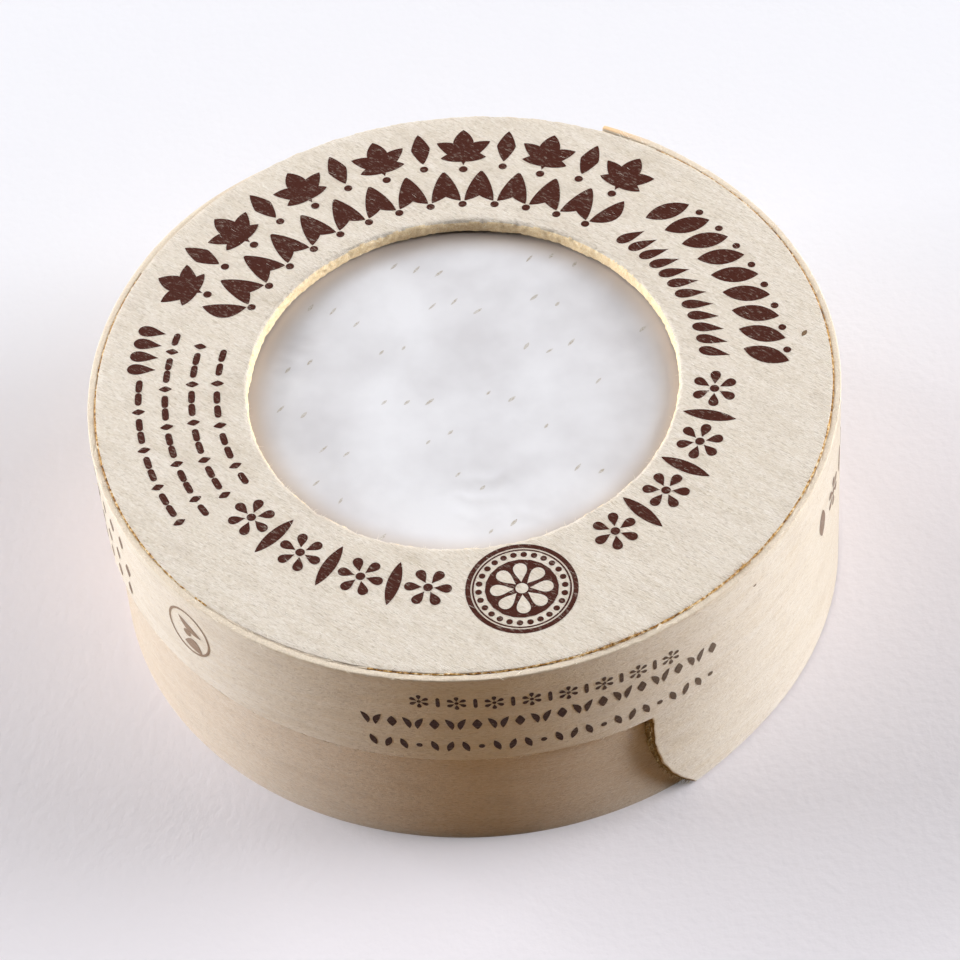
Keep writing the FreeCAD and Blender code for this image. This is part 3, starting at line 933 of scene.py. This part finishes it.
# ---------------------------------------------------------------- dust, fibres, pricks
def make_seam_dust(looks):
    """Scorched dust packed in the joint between the lid board and the strip."""
    piece = section("seam_dust", DISC_RADIUS - 0.06 * MM, STRIP_INNER + 0.08 * MM,
                    39.3 * MM, 39.87 * MM)
    round_corner(piece, lambda at: at.z > 39.8 * MM, 0.09 * MM, 2)
    turn(piece, 900)
    for vertex in piece.data.vertices:
        degrees = math.degrees(math.atan2(vertex.co.y, vertex.co.x))
        # The joint is full at the left and from the front round to the right, thin between.
        full = max(ease(-degrees, 140.0, 165.0), ease(degrees, -122.0, -100.0)
                   * (1 - ease(degrees, 36.0, 60.0)))
        grit = noise.noise(vertex.co / (0.5 * MM)) * 0.13 + noise.noise(vertex.co / (2 * MM)) * 0.16
        if vertex.co.z > 39.5 * MM:
            vertex.co.z += (grit + 0.05 * full - 0.04 * (1 - full)) * MM
    # Where the joint is tight, at the front left and the back, it is packed with pale fibre.
    for face in piece.data.polygons:
        degrees = math.degrees(math.atan2(face.center.y, face.center.x))
        wander = 6 * noise.noise(Vector((degrees / 3, 0.0, 5.0)))
        face.material_index = int(-138 < degrees + wander < -108 or 52 < degrees + wander < 150)
    wear(piece, looks["dust"], looks["edge"])
    smooth(piece, 60)
    return piece


def one_fibre():
    """A curved sliver one unit long that thins to a point: three sides and five rings."""
    bpy.ops.mesh.primitive_cylinder_add(vertices=3, radius=0.04, depth=1.0, location=(0, 0, 0.5),
                                        end_fill_type="NGON")
    piece = call(bpy.context.object, "fibre")
    bpy.ops.object.transform_apply(location=True)
    mode("EDIT")
    pick(piece, "EDGE", lambda edge: abs(edge_ends(piece, edge)[0].z
                                         - edge_ends(piece, edge)[1].z) > 0.5)
    bpy.ops.mesh.subdivide(number_cuts=3)
    mode("OBJECT")
    for vertex in piece.data.vertices:
        height = vertex.co.z
        vertex.co.x = vertex.co.x * (1 - 0.75 * height) + 0.22 * height ** 2
        vertex.co.y *= 1 - 0.75 * height
    return piece


def scatter_fibres(name, fibre, look, count, spot, long, thick, seed):
    """Copies the fibre at spots, each with its own size and direction, as one piece."""
    pick_random = random.Random(seed)
    parts = []
    for number in range(count):
        place, direction = spot(pick_random)
        length = pick_random.uniform(*long) * MM
        part = fibre.copy()
        part.data = fibre.data.copy()
        bpy.context.collection.objects.link(part)
        spun = direction.to_track_quat("Z", "Y") @ Euler((0, 0, pick_random.uniform(0, 6.28))
                                                          ).to_quaternion()
        part.data.transform(Matrix.Translation(place) @ spun.to_matrix().to_4x4()
                            @ Matrix.Diagonal((thick * MM / 0.08, thick * MM / 0.08, length, 1.0)))
        parts.append(part)
    piece = joined(parts, name)
    wear(piece, look)
    smooth(piece, 80)
    return piece


def make_fibres(looks):
    """Loose fibres: pale ones on the sawn and bent edges, scorched ones in the joint."""
    fibre = one_fibre()

    def along_window(draw):
        degrees = draw.uniform(0, 360)
        out = polar(1.0, degrees)
        way = Vector((draw.gauss(0, 0.7), draw.gauss(0, 0.7), draw.uniform(-0.3, 0.6))) - out * 0.7
        return (polar(WINDOW + 0.25 * MM, degrees, DISC_TOP - draw.uniform(0.1, 1.4) * MM),
                way.normalized())

    def sideways(draw, degrees):
        return polar(1.0, degrees + 90) * draw.choice([-1, 1])

    def in_joint(draw):
        degrees = draw.choice([draw.uniform(-105, 38), draw.uniform(-105, 38),
                               draw.gauss(-48, 3), draw.uniform(-180, -148),
                               draw.gauss(-70, 3)])
        side = sideways(draw, degrees)
        way = side * draw.uniform(0.3, 1.0) + polar(1.0, degrees) * draw.gauss(0, 0.4)
        way.z = draw.uniform(0.05, 0.7)
        return polar(DISC_RADIUS + 0.1 * MM, degrees, 39.85 * MM), way.normalized()

    def along_rim(draw):
        degrees = draw.uniform(-185, 60)
        side = sideways(draw, degrees)
        way = side + polar(1.0, degrees) * draw.gauss(0.1, 0.5)
        way.z = draw.uniform(-0.3, 0.6)
        radius = draw.uniform(STRIP_INNER, STRIP_INNER + VENEER)
        return polar(radius, degrees, RIM - 0.05 * MM), way.normalized()

    def along_foot(draw):
        degrees = draw.uniform(-185, -66)
        along = along_strip(degrees % 360.0)
        side = sideways(draw, degrees)
        way = side + polar(1.0, degrees) * draw.uniform(-0.2, 0.4)
        way.z = draw.uniform(-0.7, 0.2)
        return around(along, VENEER - 0.05 * MM, strip_foot(along) + 0.05 * MM), way.normalized()

    # Dark brown fibres along the tongue's end: partly painted shade beside the tongue.
    def on_tongue(draw):
        height = draw.uniform(1.0, 19.5) * MM
        along = tongue_edge(height)
        way = polar(1.0, TONGUE_TIP - 80) + Vector((draw.gauss(0, 0.5), draw.gauss(0, 0.5),
                                               draw.gauss(0, 0.7)))
        out = spring(along, height) + draw.uniform(0.1, 0.9) * VENEER
        return around(along - 0.4 * MM, out, height), way.normalized()

    def on_board_face(draw):
        degrees = draw.uniform(0, 360)
        radius = math.sqrt(draw.uniform(33.5 ** 2, 54.5 ** 2)) * MM
        way = polar(1.0, draw.gauss(-40, 14) + draw.choice([0, 180]), draw.uniform(-0.02, 0.12))
        return polar(radius, degrees, DISC_TOP), way.normalized()

    pale, made = looks["fibre"], []
    for name, look, count, spot, long, thick, slot in (
            ("board_fibres", pale, 600, on_board_face, (0.5, 1.7), 0.045, "poplar_disc"),
            ("window_fibres", pale, 420, along_window, (0.3, 1.0), 0.06, "poplar_disc"),
            ("joint_fibres", looks["dust"], 620, in_joint, (0.25, 0.9), 0.08, "poplar_disc"),
            ("rim_fibres", pale, 300, along_rim, (0.3, 1.8), 0.09, "poplar_strip"),
            ("foot_fibres", pale, 120, along_foot, (0.3, 1.1), 0.08, "poplar_strip"),
            ("tongue_fibres", looks["cut"], 170, on_tongue, (0.3, 1.1), 0.1, "poplar_strip")):
        piece = scatter_fibres(name, fibre, look, count, spot, long, thick, 10 + len(made))
        made.append(piece)
    bpy.data.objects.remove(fibre)
    return made


def make_pricks(wheel, stock, looks):
    """Short slanting pricks in loose rows and small groups, that let the paper breathe."""
    row_pitch, step, reach = 8.6, 3.4, 30.5
    draw = random.Random(4)
    parts = []
    for row in range(-3, 4):
        x = draw.uniform(0.0, 9.0) - reach
        while x < reach:
            for number in range(draw.choice((1, 2, 2, 3))):
                place = Vector((x + step * number,
                                row_pitch * row - 0.8 * number + draw.gauss(0, 1.0)))
                if place.length < reach:
                    wide, long = draw.uniform(0.36, 0.55), draw.uniform(1.0, 1.9)
                    parts.append(copied(stock["leaf"], (wide / 0.42, long),
                                        -42 + draw.gauss(0, 7), place.x, place.y))
            x += draw.uniform(14.0, 22.0)
    piece = joined(parts, "paper_pricks")
    piece.data.transform(Matrix.Diagonal((MM, MM, 1.0, 1.0)))
    piece.data.transform(Matrix.Translation((0, 0, DISC_TOP)))
    finish_with(piece, "SHRINKWRAP", target=wheel, wrap_method="PROJECT", use_project_z=True,
                use_negative_direction=True, use_positive_direction=False, offset=0.02 * MM)
    wear(piece, looks["prick"])
    return piece


def make_knots(stock, looks):
    """A pin knot in the lid board, and a fleck in the strip under the rim."""
    on_lid = laid_on_board([on_board(stock["leaf"], 1.4, 51.6, 3.1, 50.0, 1.2)],
                           "board_knot", looks["knot"])
    flecks = [copied(stock["leaf"], (0.9, 0.75), 80, along_strip(314.0) / MM, 35.4)]
    on_side = laid_on_strip(flecks, "strip_knots", looks["knot"])
    return [on_lid, on_side]


# ---------------------------------------------------------------- camera and light
def make_camera():
    bpy.ops.object.camera_add(location=(0.001197, -0.387572, 0.478504))
    camera = bpy.context.object
    camera.name = "camera"
    camera.rotation_mode = "ZYX"
    camera.rotation_euler = (math.radians(39.97), 0.0, math.radians(-5.233))
    camera.data.lens = 147.07
    camera.data.sensor_width = 36.0
    camera.data.clip_start = 0.01
    camera.data.clip_end = 20.0
    bpy.context.scene.camera = camera


def softbox(name, azimuth, elevation, size, watts):
    """A square area lamp a metre off that faces the box; azimuth 0 is at +X, anticlockwise."""
    place = polar(math.cos(math.radians(elevation)), azimuth, math.sin(math.radians(elevation)))
    bpy.ops.object.light_add(type="AREA", location=place)
    lamp = bpy.context.object
    lamp.name = name
    lamp.rotation_mode = "QUATERNION"
    lamp.rotation_quaternion = (-place).to_track_quat("-Z", "Y")
    lamp.data.shape = "SQUARE"
    lamp.data.size = size
    lamp.data.energy = watts
    lamp.data.color = colour("F4F9FF")[:3]


def make_stage():
    """A pale paper floor under plain soft light."""
    bpy.ops.mesh.primitive_plane_add(size=6.0, location=(0, 0, 0))
    floor = call(bpy.context.object, "floor")
    material, tree = new_material("studio_paper")
    ray = add(tree, "LightPath")
    seen = ray.outputs["Is Camera Ray"]
    for kind in ("Is Glossy Ray", "Is Transmission Ray"):
        seen = add(tree, "Math", {0: seen, 1: ray.outputs[kind]}, operation="MAXIMUM").outputs[0]
    # Seen, it is white paper, a little greyer at the back. What it throws back on the box is
    # not that white but a dim warm brown, which tints the box's lower front.
    bounce = (0.42, 0.245, 0.085, 1.0)
    own_light = 0.12
    places = add(tree, "TexCoord")
    spot = add(tree, "SeparateXYZ", {0: places.outputs["Object"]})
    depth = add(tree, "MapRange", {"Value": spot.outputs["Y"], "From Min": 0.0,
                                   "From Max": 0.07}, interpolation_type="SMOOTHSTEP")
    white = add(tree, "Mix", {0: depth.outputs[0], 6: colour("DED6D7"), 7: colour("D2CECF")},
                data_type="RGBA")
    paper = add(tree, "Mix", {0: seen, 6: bounce, 7: white.outputs[2]}, data_type="RGBA")
    pulp = add(tree, "TexNoise", {"Vector": places.outputs["Object"], "Scale": 700.0,
                                  "Detail": 3.0})
    bump = add(tree, "Bump", {"Height": pulp.outputs["Fac"], "Strength": 0.25,
                              "Distance": 0.3 * MM})
    matt = add(tree, "BsdfDiffuse", {"Color": paper.outputs[2], "Roughness": 0.5,
                                     "Normal": bump.outputs[0]})
    # A little of its own white lightens the shadow, for the eye only.
    faint = add(tree, "Math", {0: seen, 1: own_light}, operation="MULTIPLY")
    lit = add(tree, "Emission", {"Strength": faint.outputs[0]})
    close(tree, add(tree, "AddShader", {0: matt.outputs[0], 1: lit.outputs[0]}))
    floor.data.materials.append(material)
    for name, azimuth, elevation, size, watts in (
            ("right_softbox", 12.0, 15.0, 0.7, 18.6), ("left_softbox", 165.0, 15.0, 0.7, 22.2),
            ("back_left_softbox", 135.0, 35.0, 0.5, 4.7), ("high_right_softbox", 0.0, 35.0, 0.5, 5.5)):
        softbox(name, azimuth, elevation, size, watts)
    world = bpy.data.worlds.new("studio")
    bpy.context.scene.world = world
    world.use_nodes = True
    sky = world.node_tree.nodes["Background"].inputs
    sky["Color"].default_value = (1, 1, 1, 1)
    sky["Strength"].default_value = 0.01


make_camera()
make_stage()
looks = main_materials()
wheel = make_wrapped_wheel(looks)
stock = shapes()
board_prints = make_board_print(stock, looks)
strip_print = make_strip_print(stock, looks)
side_prints = make_side_prints(stock, looks)
pieces = [
    make_lid_board(looks),
    make_base_board(looks),
    wheel,
    make_lid_strip(looks),
    make_base_strip(looks),
    make_seam_dust(looks),
    make_pricks(wheel, stock, looks),
    strip_print,
]
pieces += board_prints + side_prints
pieces += make_knots(stock, looks)
pieces += make_fibres(looks)
for shape in stock.values():
    bpy.data.objects.remove(shape)
for piece in pieces:
    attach(piece, "root")

bpy.context.scene.view_settings.view_transform = "Standard"
